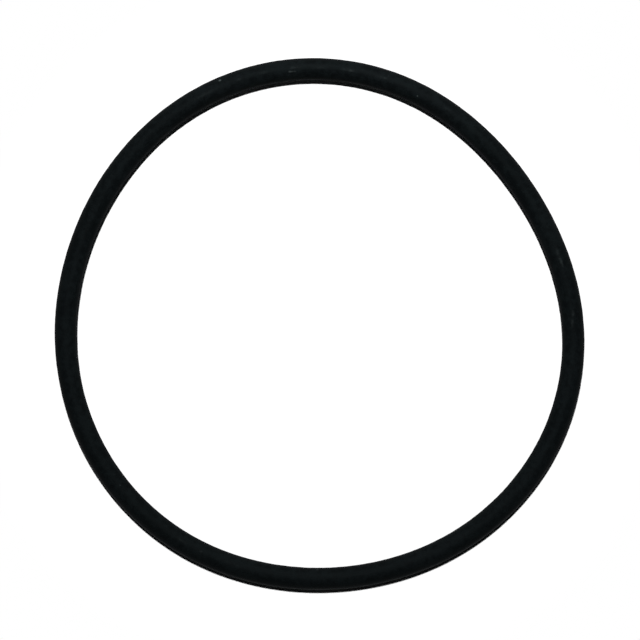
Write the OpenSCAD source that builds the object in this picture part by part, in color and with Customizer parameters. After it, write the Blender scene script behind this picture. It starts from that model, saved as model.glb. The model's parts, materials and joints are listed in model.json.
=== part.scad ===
// Moulded rubber o-ring with the trimmed flash of its parting line.
// The ring lies flat: Z is its axis, and the origin is its centre, halfway up the section.

/* [Ring] */
// Inside diameter of the rubber, without the flash
inside_d = 78.97; // [40:0.01:160]
// Diameter of the round rubber section
section_d = 3.53; // [1.78:0.01:6.99]

/* [Parting line] */
// How far the trimmed flash stands out of the section, inside and outside
flash_height = 0.08; // [0.04:0.01:0.13]
// Height of the flat edge that trimming leaves on the flash
flash_edge = 0.1; // [0.05:0.01:0.2]
// Slope of the two flanks of the flash, in degrees from the parting plane
flash_slope = 30; // [5:1:45]

/* [Hidden] */

black_rubber = [0.06, 0.075, 0.08];
ring_steps = 180;
section_steps = 40;

section_r = section_d / 2;
// Radius of the circle that the middle of the section follows
centre_r = inside_d / 2 + section_r;
// Each flank starts inside the rubber, as deep as the flash is high, and runs out to the flat edge
flank_start_x = section_r - flash_height;
flank_end_x = section_r + flash_height;
flank_end_half = flash_edge / 2;
flank_start_half = flank_end_half + (flank_end_x - flank_start_x) * tan(flash_slope);

// Strip along the parting plane, right through the section, with its flash at both ends
module parting_strip() {
    polygon([
        [-flank_end_x, -flank_end_half],
        [-flank_start_x, -flank_start_half],
        [flank_start_x, -flank_start_half],
        [flank_end_x, -flank_end_half],
        [flank_end_x, flank_end_half],
        [flank_start_x, flank_start_half],
        [-flank_start_x, flank_start_half],
        [-flank_end_x, flank_end_half]
    ]);
}

// Section as it leaves the mould: round rubber, with flash where the two halves meet
module moulded_section() {
    circle(r = section_r, $fn = section_steps);
    parting_strip();
}

module o_ring() {
    color(black_rubber)
        rotate_extrude($fn = ring_steps)
            translate([centre_r, 0])
                moulded_section();
}

o_ring();
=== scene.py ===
import json
import math
from collections import namedtuple

import bpy
import numpy as np
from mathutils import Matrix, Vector


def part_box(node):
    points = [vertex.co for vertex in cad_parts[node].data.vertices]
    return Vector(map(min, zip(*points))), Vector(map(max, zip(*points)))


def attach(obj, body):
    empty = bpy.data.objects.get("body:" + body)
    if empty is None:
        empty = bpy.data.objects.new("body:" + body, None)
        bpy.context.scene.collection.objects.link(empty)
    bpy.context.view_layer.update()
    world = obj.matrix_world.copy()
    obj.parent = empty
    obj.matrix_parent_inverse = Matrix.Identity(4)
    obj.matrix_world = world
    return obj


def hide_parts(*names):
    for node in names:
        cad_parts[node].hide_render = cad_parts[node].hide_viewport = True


# A black moulded rubber o-ring lies relaxed on a white bench, seen from straight above.
# All sizes are in metres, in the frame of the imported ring: Z is its axis, its centre is the origin.
MM = 0.001

# Where the photograph, 640 pixels square, shows the ring
PHOTO_PIXELS = 640
RING_CENTRE_X = 317.97
RING_CENTRE_Y = 327.42
RING_RADIUS_PIXELS = 253.98

# The soft ring lies slightly out of round: number of waves, their height, and the angle of a crest
# in degrees
OUT_OF_ROUND = (
    (2, 0.365 * MM, 124),
    (3, 0.598 * MM, 96),
    (4, 0.06 * MM, 76),
    (5, 0.027 * MM, 69),
    (6, 0.035 * MM, 2),
)

# Mesh of the ring
RING_STEPS = 1340
SECTION_STEPS = 72
# Share by which the steps round the section close up towards the parting line
STEP_CROWDING = 0.75

# Flash of the mould's parting line: the slope beside it, the share of its height that the trim leaves
# on average and at least, and how far the trim strays from that in short and in long waves
FLASH_FLANK = 0.05 * MM
FLASH_KEPT = 0.5
FLASH_LEAST = 0.25
TRIM_RAGGED = 0.08
TRIM_DRIFT = 0.10

# Nicks where the flash tore: the share of what is left that they take, and the level of their noise
# at which one starts and at which it is full
NICK_DEPTH = 0.35
NICK_START = 2.2
NICK_FULL = 3.0

# Numbers of waves round the ring in the noise of the trim and of the nicks, and the height of the
# weakest wave where the strongest has 1
RAGGED_WAVES = range(40, 260)
DRIFT_WAVES = range(2, 14)
NICK_WAVES = range(60, 420)
WEAKEST_WAVE = 0.3

# How far the upper mould half sits off the lower one
MOULD_SHIFT = (0.014 * MM, -0.010 * MM)

# Skin of the rubber: waves of the unevenness that the mould and the cure leave, and their usual height
SKIN_WAVE_COUNT = 60
SKIN_WAVE_LONGEST = 6 * MM
SKIN_WAVE_SHORTEST = 1.2 * MM
SKIN_WAVE_HEIGHT = 0.004 * MM

# Seeds of the random draws. The flash uses its seed and the next two.
OUTER_FLASH_SEED = 11
INNER_FLASH_SEED = 31
SKIN_SEED = 5

# Colours of the rubber, of the grey bloom that comes to its surface, of the trimmed flash,
# which is paler partly as a cut face and partly as a painted rim highlight,
# of dust, scuffs and painted sheen streaks, and plain white
RUBBER = (0.0016, 0.0022, 0.0025, 1)
BLOOM = (0.0039, 0.0054, 0.0059, 1)
TRIM_AND_RIM_HIGHLIGHT = (0.012, 0.016, 0.017, 1)
PALE = (0.046, 0.056, 0.056, 1)
WHITE = (1, 1, 1, 1)

# Noise of the skin: how large its blots are, and how many finer layers it has
Noise = namedtuple("Noise", "size detail")
BLOOM_PATCHES = Noise(6 * MM, 2.0)
BLOOM_FLECKS = Noise(0.9 * MM, 4.0)
GRAIN = Noise(0.2 * MM, 2.0)
MOULD_LINE_LENGTH = 5 * MM
MOULD_LINE_WIDTH = 0.22 * MM
MOULD_LINE_DETAIL = 1.0
# The middle of what a noise texture gives
NOISE_MIDDLE = 0.5

# How much bloom there is, and how much each noise changes it
BLOOM_SHARE = 0.42
BLOOM_BY_PATCHES = 1.2
BLOOM_BY_FLECKS = 2.7
BLOOM_BY_LINES = 0.6
BLOOM_BY_GRAIN = 1.8

# Roughness of the rubber, and how much bloom and mould lines add to it
ROUGHNESS = 0.53
ROUGHNESS_BY_BLOOM = 0.12
ROUGHNESS_BY_LINES = 0.15

# Strength and tint of its weak, bluish gloss
SPECULAR_LEVEL = 0.0225
SPECULAR_TINT = (0.82, 1.0, 1.02, 1)

# Height of the grain's relief, and how strong that of lines, flecks and marks is beside it
GRAIN_HEIGHT = 0.009 * MM
LINE_RELIEF = 0.6
FLECK_RELIEF = 1.6
MARK_RELIEF = 1.5

# How much of the trimmed flash's paler colour shows: partly its cut face, partly a painted rim highlight
# along the edge
TRIM_AND_RIM_HIGHLIGHT_SHARE = 0.9

# How much flecks and grain break up a scuff, a painted sheen streak or a bit of dust
MARKS_BY_FLECKS = 2
MARKS_BY_GRAIN = 1.5

# Dust: the spacing of the places that may have a grain, the random level of a place at which a grain
# starts to show and at which it shows fully, a grain's edge and core as shares of the spacing,
# and how pale it is
DUST_SPACING = 2.3 * MM
DUST_SHOWS = 0.66
DUST_SHOWS_FULLY = 0.8
DUST_EDGE = 0.07
DUST_CORE = 0.02
DUST_PALENESS = 0.35

# Pale marks on the upper side: scuffs, bits of dust, and painted sheen streaks along the crest. Each has
# a pixel of the photograph, half length along the ring, half width, and how pale
PaleMark = namedtuple("PaleMark", "pixel_x pixel_y half_length half_width paleness")
SCUFFS_DUST_AND_SHEEN_STREAKS = (
    PaleMark(290.4, 71.6, 0.48 * MM, 0.20 * MM, 0.50),
    PaleMark(293.9, 71.6, 0.46 * MM, 0.19 * MM, 0.40),
    PaleMark(288.6, 75.2, 0.20 * MM, 0.20 * MM, 0.12),
    PaleMark(293.5, 67.8, 0.80 * MM, 0.34 * MM, 0.18),
    PaleMark(298.9, 67.0, 0.45 * MM, 0.40 * MM, 0.15),
    PaleMark(319.8, 67.4, 1.90 * MM, 0.36 * MM, 0.11),
    PaleMark(351.2, 70.9, 0.55 * MM, 0.22 * MM, 0.18),
    PaleMark(348.0, 69.6, 1.70 * MM, 0.36 * MM, 0.15),
    PaleMark(381.0, 77.2, 1.80 * MM, 0.36 * MM, 0.12),
    PaleMark(385.0, 78.2, 0.40 * MM, 0.24 * MM, 0.14),
    PaleMark(417.4, 96.0, 0.15 * MM, 0.15 * MM, 0.60),
    PaleMark(447.8, 109.4, 0.90 * MM, 0.34 * MM, 0.10),
    PaleMark(262.9, 72.6, 1.10 * MM, 0.34 * MM, 0.12),
    PaleMark(239.1, 79.3, 0.60 * MM, 0.34 * MM, 0.14),
    PaleMark(219.9, 80.3, 0.27 * MM, 0.25 * MM, 0.95),
    PaleMark(204.7, 94.3, 2.80 * MM, 0.38 * MM, 0.14),
    PaleMark(561.9, 262.8, 0.80 * MM, 0.26 * MM, 0.20),
    PaleMark(558.6, 255.5, 2.40 * MM, 0.36 * MM, 0.18),
    PaleMark(573.0, 313.8, 0.65 * MM, 0.34 * MM, 0.26),
    PaleMark(572.4, 323.3, 0.85 * MM, 0.34 * MM, 0.22),
    PaleMark(120.2, 485.3, 0.16 * MM, 0.16 * MM, 0.30),
    PaleMark(182.0, 540.8, 1.20 * MM, 0.34 * MM, 0.14),
    PaleMark(201.0, 551.5, 0.38 * MM, 0.25 * MM, 0.26),
    PaleMark(232.0, 563.5, 2.60 * MM, 0.34 * MM, 0.10),
    PaleMark(317.5, 569.6, 0.25 * MM, 0.19 * MM, 0.40),
)
# Where a pale mark's fading begins and ends, as shares of its half length and half width
PALE_MARK_CORE = 0.2
PALE_MARK_EDGE = 1.3
# Rounds of the search for a pixel's place on the skin
SEARCH_ROUNDS = 8

# Lamps: tilt from straight above and direction in degrees, distance, width, share of all the light,
# and whether it lights the ring alone. The small lamp throws the shadow, and the soft one gives
# the ring its sheen.
Lamp = namedtuple("Lamp", "name tilt direction distance width share ring_only")
LAMPS = (
    Lamp("small_lamp", 17.3, 94, 700 * MM, 45 * MM, 0.45, False),
    Lamp("soft_lamp", 44, 84, 200 * MM, 60 * MM, 0.55, True),
)
# Light of all lamps together on a level surface. At 1 a white one renders white.
LEVEL = 1.0
ROOM_LIGHT = 0.0005

# How light the lit bench is as the ring sees it and as the camera sees it. 1 is white.
BENCH_PAINT = 0.65
BENCH_TO_CAMERA = 1.1
BENCH_SIZE = 4.0
# How far from the ring's axis the bench keeps the whole shadow, and where it is plain white
SHADOW_REACH = 48 * MM
BACKDROP_START = 60 * MM

CAMERA_HEIGHT = 400 * MM
CAMERA_NEAR = 10 * MM
CAMERA_FAR = 20
# Width of the camera's sensor in millimetres, the unit that its lens has too
CAMERA_SENSOR = 36

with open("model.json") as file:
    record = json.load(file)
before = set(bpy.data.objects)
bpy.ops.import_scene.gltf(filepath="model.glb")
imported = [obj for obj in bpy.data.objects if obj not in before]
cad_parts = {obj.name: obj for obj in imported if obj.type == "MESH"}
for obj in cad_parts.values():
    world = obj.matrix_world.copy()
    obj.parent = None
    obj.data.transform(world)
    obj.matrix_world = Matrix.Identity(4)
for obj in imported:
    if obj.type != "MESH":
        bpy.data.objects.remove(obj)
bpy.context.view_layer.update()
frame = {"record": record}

mounts = {m["name"]: m for m in frame["record"]["mounts"]}
inner_land_r = mounts["inner_seat"]["dims"]["r_mm"] * MM
outer_land_r = mounts["outer_seat"]["dims"]["r_mm"] * MM
land_width = mounts["outer_seat"]["dims"]["length_mm"] * MM
low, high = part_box("o_ring")
section_r = (high.z - low.z) / 2
centre_r = (inner_land_r + outer_land_r) / 2
flash_height = (outer_land_r - inner_land_r) / 2 - section_r
bench_z = low.z

pixels_per_metre = RING_RADIUS_PIXELS / centre_r
camera_x = (PHOTO_PIXELS / 2 - RING_CENTRE_X) / pixels_per_metre
camera_y = (RING_CENTRE_Y - PHOTO_PIXELS / 2) / pixels_per_metre


def new_object(name, data):
    """Puts a mesh, a lamp or a camera into the scene."""
    piece = bpy.data.objects.new(name, data)
    bpy.context.scene.collection.objects.link(piece)
    return piece


def periodic_noise(angles, seed, wave_counts):
    """Noise about 0 along a closed line, seldom past 2, of whole waves so that it meets itself."""
    draw = np.random.default_rng(seed)
    counts = np.array(wave_counts)
    phases = draw.uniform(0, 2 * math.pi, len(counts))
    weights = draw.uniform(WEAKEST_WAVE, 1, len(counts))
    waves = weights[:, None] * np.cos(counts[:, None] * angles + phases[:, None])
    return waves.sum(0) / math.sqrt((weights**2).sum())


def smooth_step(start, end, values):
    """Goes smoothly from 0 to 1 as the values go from start to end."""
    t = np.clip((values - start) / (end - start), 0, 1)
    return t * t * (3 - 2 * t)


def relaxed_radius(angles):
    """Distance from the origin to the middle of the section, all the way round."""
    radius = np.full_like(angles, centre_r)
    for waves, height, crest in OUT_OF_ROUND:
        radius += height * np.cos(waves * (angles - math.radians(crest)))
    return radius


def flash_along(angles, seed):
    """How much of its full height the trimmed flash keeps at each place, with nicks where it tore."""
    ragged = TRIM_RAGGED * periodic_noise(angles, seed, RAGGED_WAVES)
    drift = TRIM_DRIFT * periodic_noise(angles, seed + 1, DRIFT_WAVES)
    nicks = smooth_step(NICK_START, NICK_FULL, periodic_noise(angles, seed + 2, NICK_WAVES))
    return np.clip(FLASH_KEPT + ragged + drift, FLASH_LEAST, 1) * (1 - NICK_DEPTH * nicks)


def skin_waves(points, seed):
    """Faint unevenness of the skin, as a sum of plane waves in many directions."""
    draw = np.random.default_rng(seed)
    total = np.zeros(len(points))
    lengths = np.geomspace(SKIN_WAVE_SHORTEST, SKIN_WAVE_LONGEST, SKIN_WAVE_COUNT)
    for length in lengths:
        direction = draw.normal(size=3)
        direction *= 2 * math.pi / length / np.linalg.norm(direction)
        total += length * np.sin(points @ direction + draw.uniform(0, 2 * math.pi))
    return SKIN_WAVE_HEIGHT * total / total.std()


def closed_grid_faces(rings, steps):
    """Four-cornered faces of a grid that closes on itself both ways, as in a torus."""
    ring, step = np.meshgrid(np.arange(rings), np.arange(steps), indexing="ij")
    next_ring, next_step = (ring + 1) % rings, (step + 1) % steps
    corners = [
        ring * steps + step,
        next_ring * steps + step,
        next_ring * steps + next_step,
        ring * steps + next_step,
    ]
    return np.stack([c.ravel() for c in corners], 1)


def moulded_ring():
    """The relaxed ring as one closed skin, with the flash of its parting line."""
    angles = np.arange(RING_STEPS) * 2 * math.pi / RING_STEPS
    even = np.arange(SECTION_STEPS) * 2 * math.pi / SECTION_STEPS
    section = even - STEP_CROWDING / 2 * np.sin(2 * even)

    around, across = np.meshgrid(angles, section, indexing="ij")
    radius = np.repeat(relaxed_radius(angles)[:, None], SECTION_STEPS, 1)
    height = section_r * np.sin(across)

    kept_out = flash_along(angles, OUTER_FLASH_SEED)[:, None]
    kept_in = flash_along(angles, INNER_FLASH_SEED)[:, None]
    kept = np.where(np.cos(across) > 0, kept_out, kept_in)
    land = land_width / 2
    flash = flash_height * kept * smooth_step(land + FLASH_FLANK, land, np.abs(height))
    reach = section_r + flash

    points = np.stack([
        (radius + reach * np.cos(across)) * np.cos(around),
        (radius + reach * np.cos(across)) * np.sin(around),
        reach * np.sin(across),
    ], -1).reshape(-1, 3)
    outward = np.stack([
        np.cos(across) * np.cos(around),
        np.cos(across) * np.sin(around),
        np.sin(across),
    ], -1).reshape(-1, 3)
    points += outward * skin_waves(points, SKIN_SEED)[:, None]

    upper_half = smooth_step(-FLASH_FLANK / 2, FLASH_FLANK / 2, points[:, 2])
    points[:, 0] += MOULD_SHIFT[0] * upper_half
    points[:, 1] += MOULD_SHIFT[1] * upper_half

    mesh = bpy.data.meshes.new("moulded_o_ring")
    mesh.from_pydata(points.tolist(), [], closed_grid_faces(RING_STEPS, SECTION_STEPS).tolist())
    mesh.shade_smooth()
    mesh.update()
    return new_object("moulded_o_ring", mesh)


def on_the_skin(pixel_x, pixel_y):
    """The point of the ring's upper skin that a pixel of the photograph shows, and its angle."""
    height = section_r
    for _ in range(SEARCH_ROUNDS):
        scale = (CAMERA_HEIGHT - height) / CAMERA_HEIGHT / pixels_per_metre
        x = camera_x + (pixel_x - PHOTO_PIXELS / 2) * scale
        y = camera_y + (PHOTO_PIXELS / 2 - pixel_y) * scale
        angle = math.atan2(y, x)
        off_middle = math.hypot(x, y) - relaxed_radius(np.array([angle]))[0]
        height = math.sqrt(max(section_r**2 - off_middle**2, 0))
    return Vector((x, y, height)), angle


class Value:
    """A socket of a finish. Sums written with it in Python become Math nodes."""

    def __init__(self, finish, socket):
        self.finish = finish
        self.socket = socket

    def math(self, operation, *values):
        return self.finish.node("ShaderNodeMath", {"operation": operation}, *values)

    def __add__(self, other):
        return self.math("ADD", self, other)

    def __sub__(self, other):
        return self.math("SUBTRACT", self, other)

    def __rsub__(self, other):
        return self.math("SUBTRACT", other, self)

    def __mul__(self, other):
        return self.math("MULTIPLY", self, other)

    def __truediv__(self, other):
        return self.math("DIVIDE", self, other)

    def __pow__(self, other):
        return self.math("POWER", self, other)

    def __abs__(self):
        return self.math("ABSOLUTE", self)

    __radd__ = __add__
    __rmul__ = __mul__

    def larger(self, other):
        return self.math("MAXIMUM", self, other)

    def rise(self, start, end):
        """Goes smoothly from 0 to 1 as the value goes from start to end."""
        return self.finish.node(
            "ShaderNodeMapRange", {"interpolation_type": "SMOOTHSTEP"}, self, start, end, 0, 1
        )

    def output(self, name):
        """Another output of the node that this value comes from."""
        return Value(self.finish, self.socket.node.outputs[name])


class Finish:
    """The nodes of one material or of the world."""

    def __init__(self, owner):
        owner.use_nodes = True
        self.tree = owner.node_tree
        self.tree.nodes.clear()

    def node(self, kind, settings=None, *values, **named):
        """Adds a node: its settings first, then its sockets in order or by name, a space written as _."""
        node = self.tree.nodes.new(kind)
        for name, value in (settings or {}).items():
            setattr(node, name, value)
        in_use = [s for s in node.inputs if s.enabled]
        sockets = list(zip(in_use, values))
        for name, value in named.items():
            sockets.append((node.inputs[name.replace("_", " ")], value))
        for socket, value in sockets:
            if isinstance(value, Value):
                self.tree.links.new(value.socket, socket)
            else:
                socket.default_value = value
        results = [s for s in node.outputs if s.enabled]
        return Value(self, results[0]) if results else None

    def mix(self, share, first, second):
        """Goes from the first colour to the second as share goes from 0 to 1."""
        return self.node("ShaderNodeMix", {"data_type": "RGBA"}, share, first, second)

    def length(self, place):
        """How far place is from its origin."""
        return self.node("ShaderNodeVectorMath", {"operation": "LENGTH"}, place)

    def noise(self, place, kind):
        """One kind of the skin's noise, about 0."""
        texture = self.node("ShaderNodeTexNoise", None, place, Scale=1 / kind.size, Detail=kind.detail)
        return texture - NOISE_MIDDLE


def mould_lines(rubber, place):
    """Faint noise about 0 that is drawn out along the ring, as a turned mould leaves it."""
    x = rubber.node("ShaderNodeSeparateXYZ", None, place)
    y, z = x.output("Y"), x.output("Z")
    across = (x * x + y * y) ** 0.5 - centre_r
    drawn_out = rubber.node(
        "ShaderNodeCombineXYZ",
        None,
        x / MOULD_LINE_LENGTH,
        y / MOULD_LINE_LENGTH,
        across / MOULD_LINE_WIDTH,
    )
    texture = rubber.node(
        "ShaderNodeTexNoise",
        {"noise_dimensions": "4D"},
        drawn_out,
        W=z / MOULD_LINE_WIDTH,
        Scale=1.0,
        Detail=MOULD_LINE_DETAIL,
    )
    return texture - NOISE_MIDDLE


def pale_mark_mask(rubber, place, pale_mark):
    """As pale as the mark in its core, and 0 from its edge on. Some marks are scuffs or dust, some painted
    sheen streaks.
    """
    middle, angle = on_the_skin(pale_mark.pixel_x, pale_mark.pixel_y)
    from_middle = rubber.node(
        "ShaderNodeMapping",
        {"vector_type": "TEXTURE"},
        place,
        middle,
        (0, 0, angle + math.pi / 2),
        (pale_mark.half_length, pale_mark.half_width, pale_mark.half_width),
    )
    return rubber.length(from_middle).rise(PALE_MARK_EDGE, PALE_MARK_CORE) * pale_mark.paleness


def dust_mask(rubber, place):
    """A few pale grains, far apart."""
    from_grain = rubber.node("ShaderNodeTexVoronoi", None, place, Scale=1 / DUST_SPACING)
    shows = from_grain.output("Color").rise(DUST_SHOWS, DUST_SHOWS_FULLY)
    return from_grain.rise(DUST_EDGE, DUST_CORE) * shows * DUST_PALENESS


def moulded_rubber():
    """Matt bluish black with a patchy grey bloom, faint mould lines, scuffs and dust, painted sheen
    streaks, and a paler trimmed flash that is partly a painted rim highlight.
    """
    material = bpy.data.materials.new("moulded_black_rubber")
    rubber = Finish(material)
    place = rubber.node("ShaderNodeTexCoord").output("Object")

    patches = rubber.noise(place, BLOOM_PATCHES)
    flecks = rubber.noise(place, BLOOM_FLECKS)
    grain = rubber.noise(place, GRAIN)
    lines = mould_lines(rubber, place)

    bloom = BLOOM_SHARE + patches * BLOOM_BY_PATCHES + flecks * BLOOM_BY_FLECKS
    bloom = (bloom + lines * BLOOM_BY_LINES + grain * BLOOM_BY_GRAIN).rise(0, 1)
    colour = rubber.mix(bloom, RUBBER, BLOOM)

    off_parting_line = abs(rubber.node("ShaderNodeSeparateXYZ", None, place).output("Z"))
    trim_and_rim_highlight = off_parting_line.rise(land_width / 2 + FLASH_FLANK, land_width / 2)
    # The paler trimmed flash is partly its cut face and partly a painted rim highlight along the ring's
    # edge
    colour = rubber.mix(trim_and_rim_highlight * (TRIM_AND_RIM_HIGHLIGHT_SHARE + flecks + grain), colour, TRIM_AND_RIM_HIGHLIGHT)

    marks = dust_mask(rubber, place)
    # Scuffs and dust, and also painted sheen streaks along the crest, all made paler in the colour
    for pale_mark in SCUFFS_DUST_AND_SHEEN_STREAKS:
        marks = marks + pale_mark_mask(rubber, place, pale_mark)
    broken_up = marks * (1 + flecks * MARKS_BY_FLECKS + grain * MARKS_BY_GRAIN)
    colour = rubber.mix(broken_up.rise(0, 1), colour, PALE)

    relief = grain + lines * LINE_RELIEF + flecks * FLECK_RELIEF + marks * MARK_RELIEF
    bump = rubber.node("ShaderNodeBump", None, 1.0, GRAIN_HEIGHT, Height=relief)
    shader = rubber.node(
        "ShaderNodeBsdfPrincipled",
        None,
        Base_Color=colour,
        Roughness=ROUGHNESS + bloom * ROUGHNESS_BY_BLOOM + lines * ROUGHNESS_BY_LINES,
        Specular_IOR_Level=SPECULAR_LEVEL,
        Specular_Tint=SPECULAR_TINT,
        Normal=bump,
    )
    rubber.node("ShaderNodeOutputMaterial", None, shader)
    return material


def camera_rays(finish):
    """1 for what the camera sees directly, and 0 for other light."""
    return finish.node("ShaderNodeLightPath").output("Is Camera Ray")


def seen_rays(finish):
    """1 for what the camera sees directly, mirrored or through something clear, and 0 for other light."""
    direct = camera_rays(finish)
    mirrored = direct.output("Is Glossy Ray")
    passed_through = direct.output("Is Transmission Ray")
    return direct.larger(mirrored.larger(passed_through))


def grey(level):
    """A grey as light as level, as a colour."""
    return (level, level, level, 1)


def white_bench():
    """Pale paint that keeps the ring's shadow and is lighter to the camera, and plain white farther out."""
    material = bpy.data.materials.new("white_bench")
    # The plain white is only to be seen and lights nothing, so it isn't sampled as a lamp
    material.cycles.emission_sampling = "NONE"
    bench = Finish(material)
    from_axis = bench.length(bench.node("ShaderNodeTexCoord").output("Object"))
    far_out = from_axis.rise(SHADOW_REACH, BACKDROP_START)
    share_on_bench = sum(lamp.share for lamp in LAMPS if not lamp.ring_only)
    to_ring = grey(BENCH_PAINT / share_on_bench)
    to_camera = grey(BENCH_TO_CAMERA / share_on_bench)
    paint = bench.node("ShaderNodeBsdfDiffuse", None, bench.mix(camera_rays(bench), to_ring, to_camera))
    plain_white = bench.node("ShaderNodeEmission", None, WHITE, 1.0)
    shader = bench.node("ShaderNodeMixShader", None, far_out * seen_rays(bench), paint, plain_white)
    bench.node("ShaderNodeOutputMaterial", None, shader)
    return material


def bench_top():
    """The bench that the ring lies on."""
    half = BENCH_SIZE / 2
    mesh = bpy.data.meshes.new("bench")
    corners = [
        (-half, -half, bench_z),
        (half, -half, bench_z),
        (half, half, bench_z),
        (-half, half, bench_z),
    ]
    mesh.from_pydata(corners, [], [(0, 1, 2, 3)])
    mesh.materials.append(white_bench())
    new_object("bench", mesh)


def hang_lamp(lamp, ring):
    """A disk lamp aimed at the middle of the ring. Its power gives its share of the level there."""
    tilt, direction = math.radians(lamp.tilt), math.radians(lamp.direction)
    data = bpy.data.lights.new(lamp.name, "AREA")
    data.shape = "DISK"
    data.size = lamp.width
    data.energy = LEVEL * lamp.share * math.pi**2 * lamp.distance**2 / math.cos(tilt)
    piece = new_object(lamp.name, data)
    piece.location = lamp.distance * Vector((
        math.sin(tilt) * math.cos(direction),
        math.sin(tilt) * math.sin(direction),
        math.cos(tilt),
    ))
    piece.rotation_euler = (-piece.location).to_track_quat("-Z", "Y").to_euler()
    if lamp.ring_only:
        lit = bpy.data.collections.new("lit_by_" + lamp.name)
        lit.objects.link(ring)
        piece.light_linking.receiver_collection = lit


def room():
    """White to the camera and in reflections, and nearly dark as a light."""
    world = bpy.data.worlds.new("room")
    bpy.context.scene.world = world
    air = Finish(world)
    strength = ROOM_LIGHT + seen_rays(air) * (1 - ROOM_LIGHT)
    shader = air.node("ShaderNodeBackground", None, WHITE, strength)
    air.node("ShaderNodeOutputWorld", None, shader)


def overhead_camera():
    """A camera straight above, placed so that the ring lies where the photograph shows it."""
    data = bpy.data.cameras.new("camera")
    data.sensor_width = CAMERA_SENSOR
    data.lens = CAMERA_SENSOR * CAMERA_HEIGHT * pixels_per_metre / PHOTO_PIXELS
    data.clip_start = CAMERA_NEAR
    data.clip_end = CAMERA_FAR
    camera = new_object("camera", data)
    camera.location = (camera_x, camera_y, CAMERA_HEIGHT)
    bpy.context.scene.camera = camera


ring = moulded_ring()
ring.data.materials.append(moulded_rubber())
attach(ring, "root")
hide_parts("o_ring")

overhead_camera()
for lamp in LAMPS:
    hang_lamp(lamp, ring)
room()
bench_top()

bpy.context.scene.view_settings.view_transform = "Standard"
